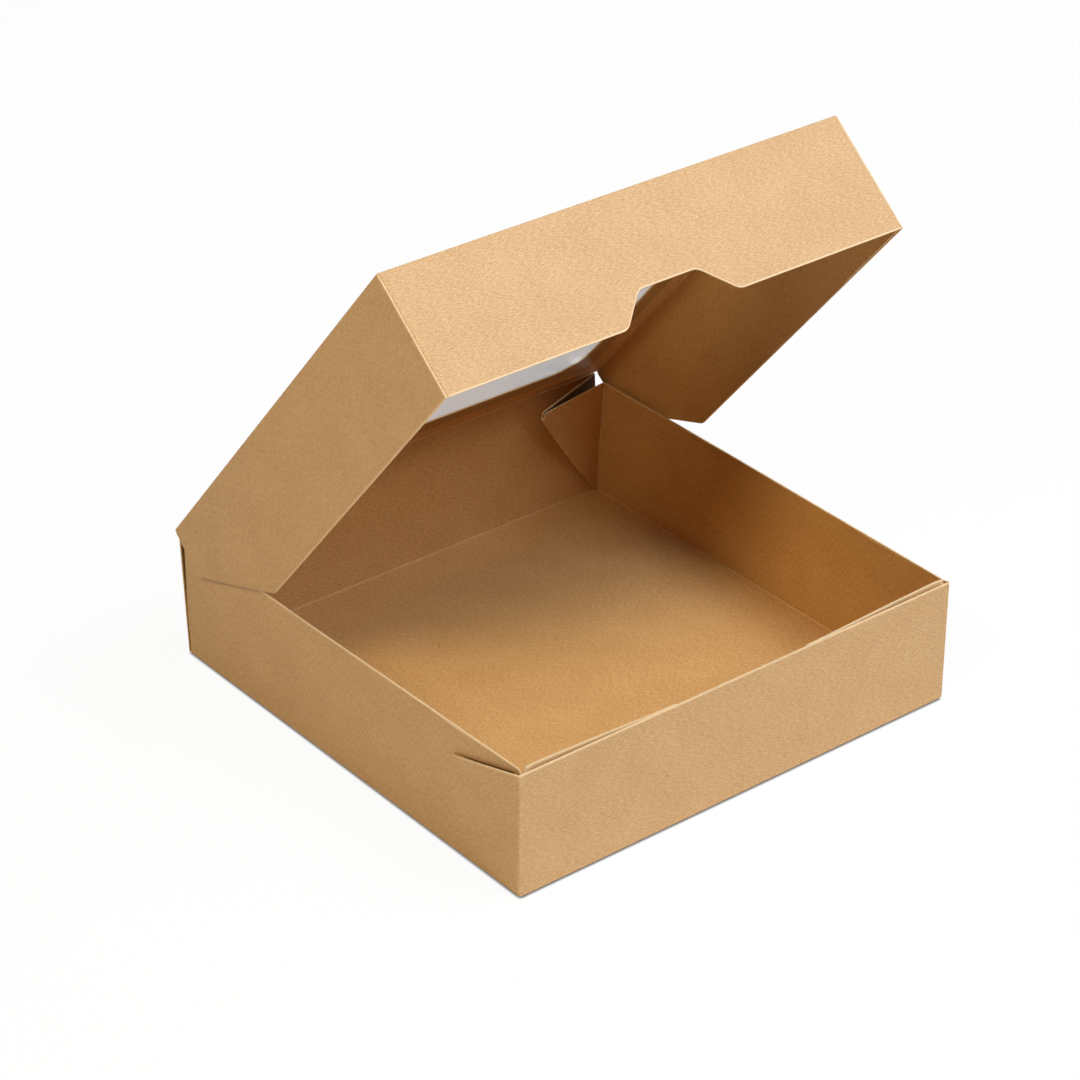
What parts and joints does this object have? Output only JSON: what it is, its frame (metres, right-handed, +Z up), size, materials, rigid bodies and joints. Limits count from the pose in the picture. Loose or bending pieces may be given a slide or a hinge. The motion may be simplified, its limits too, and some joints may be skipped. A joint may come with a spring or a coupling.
{
  "type": "windowed kraft deli box",
  "caption": "Shallow square kraft board food box with a hinged lid that closes over the tray, a clear film window in the lid and a thumb notch in its front flap.",
  "frame": {"origin": "centre of the tray's underside", "axes": "+Z up, front wall faces -Y, crease of the lid runs along X at the back"},
  "size_m": [0.2026, 0.2028, 0.2089],
  "materials": {
    "kraft_tray": "matte natural kraft board with fine fibres",
    "kraft_lid": "matte natural kraft board with fine fibres",
    "clear_film": "clear glossy plastic film"
  },
  "bodies": {
    "tray": {"tray": "kraft_tray"},
    "lid": {"lid": "kraft_lid", "window_film": "clear_film"}
  },
  "joints": [
    {"name": "lid_hinge", "type": "hinge", "parent": "tray", "child": "lid", "pos_m": [0, 0.1025, 0.05275], "axis": [-1, 0, 0], "range_deg": [-50, 130]}
  ]
}
